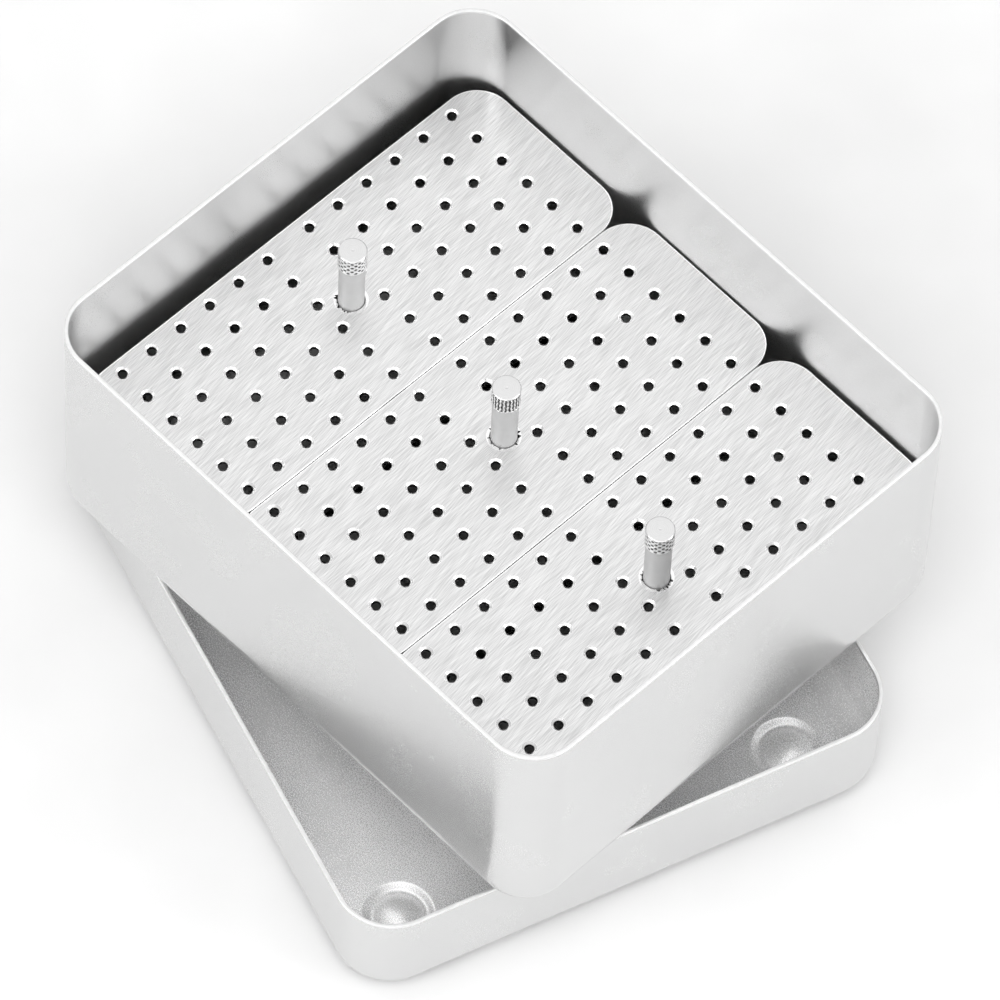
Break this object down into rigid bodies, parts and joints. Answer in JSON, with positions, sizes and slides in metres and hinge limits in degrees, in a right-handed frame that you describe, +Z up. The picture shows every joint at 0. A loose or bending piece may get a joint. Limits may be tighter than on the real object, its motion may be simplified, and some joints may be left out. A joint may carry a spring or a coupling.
{
  "type": "instrument tray",
  "caption": "Drawn aluminium box with lift-out perforated racks on knurled lifting posts, standing diagonally on its own upturned lid; holds small files and reamers upright.",
  "frame": {"origin": "on the table, under the middle of the upturned lid", "axes": "+Z up; +X across the three racks, parallel to the box's long sides; +Y along the racks; the lid is turned 17 degrees clockwise seen from above"},
  "size_m": [0.1664, 0.152, 0.0917],
  "materials": {
    "drawn_sheet": "satin anodised, fine even grain",
    "rack_plate": "brushed along one diagonal, bright deburred edges",
    "turned_post": "turned, matt shank, knurled head",
    "leg_bar": "turned, satin",
    "fastener": "plain stainless"
  },
  "bodies": {
    "lid": {"lid": "drawn_sheet"},
    "box": {"box": "drawn_sheet"},
    "left_rack": {"left_rack_top_plate": "rack_plate", "left_rack_base_plate": "rack_plate", "left_rack_lifting_post": "turned_post", "left_rack_post_nut": "fastener", "left_rack_front_left_leg": "leg_bar", "left_rack_front_right_leg": "leg_bar", "left_rack_rear_left_leg": "leg_bar", "left_rack_rear_right_leg": "leg_bar", "left_rack_leg_screws": "fastener"},
    "middle_rack": {"middle_rack_top_plate": "rack_plate", "middle_rack_base_plate": "rack_plate", "middle_rack_lifting_post": "turned_post", "middle_rack_post_nut": "fastener", "middle_rack_front_left_leg": "leg_bar", "middle_rack_front_right_leg": "leg_bar", "middle_rack_rear_left_leg": "leg_bar", "middle_rack_rear_right_leg": "leg_bar", "middle_rack_leg_screws": "fastener"},
    "right_rack": {"right_rack_top_plate": "rack_plate", "right_rack_base_plate": "rack_plate", "right_rack_lifting_post": "turned_post", "right_rack_post_nut": "fastener", "right_rack_front_left_leg": "leg_bar", "right_rack_front_right_leg": "leg_bar", "right_rack_rear_left_leg": "leg_bar", "right_rack_rear_right_leg": "leg_bar", "right_rack_leg_screws": "fastener"}
  },
  "joints": [
    {"name": "box_lift", "type": "slide", "parent": "lid", "child": "box", "axis": [0, 0, 1], "range_m": [0, 0.04]},
    {"name": "left_rack_lift", "type": "slide", "parent": "box", "child": "left_rack", "axis": [0, 0, 1], "range_m": [0, 0.068]},
    {"name": "middle_rack_lift", "type": "slide", "parent": "box", "child": "middle_rack", "axis": [0, 0, 1], "range_m": [0, 0.068]},
    {"name": "right_rack_lift", "type": "slide", "parent": "box", "child": "right_rack", "axis": [0, 0, 1], "range_m": [0, 0.068]}
  ]
}
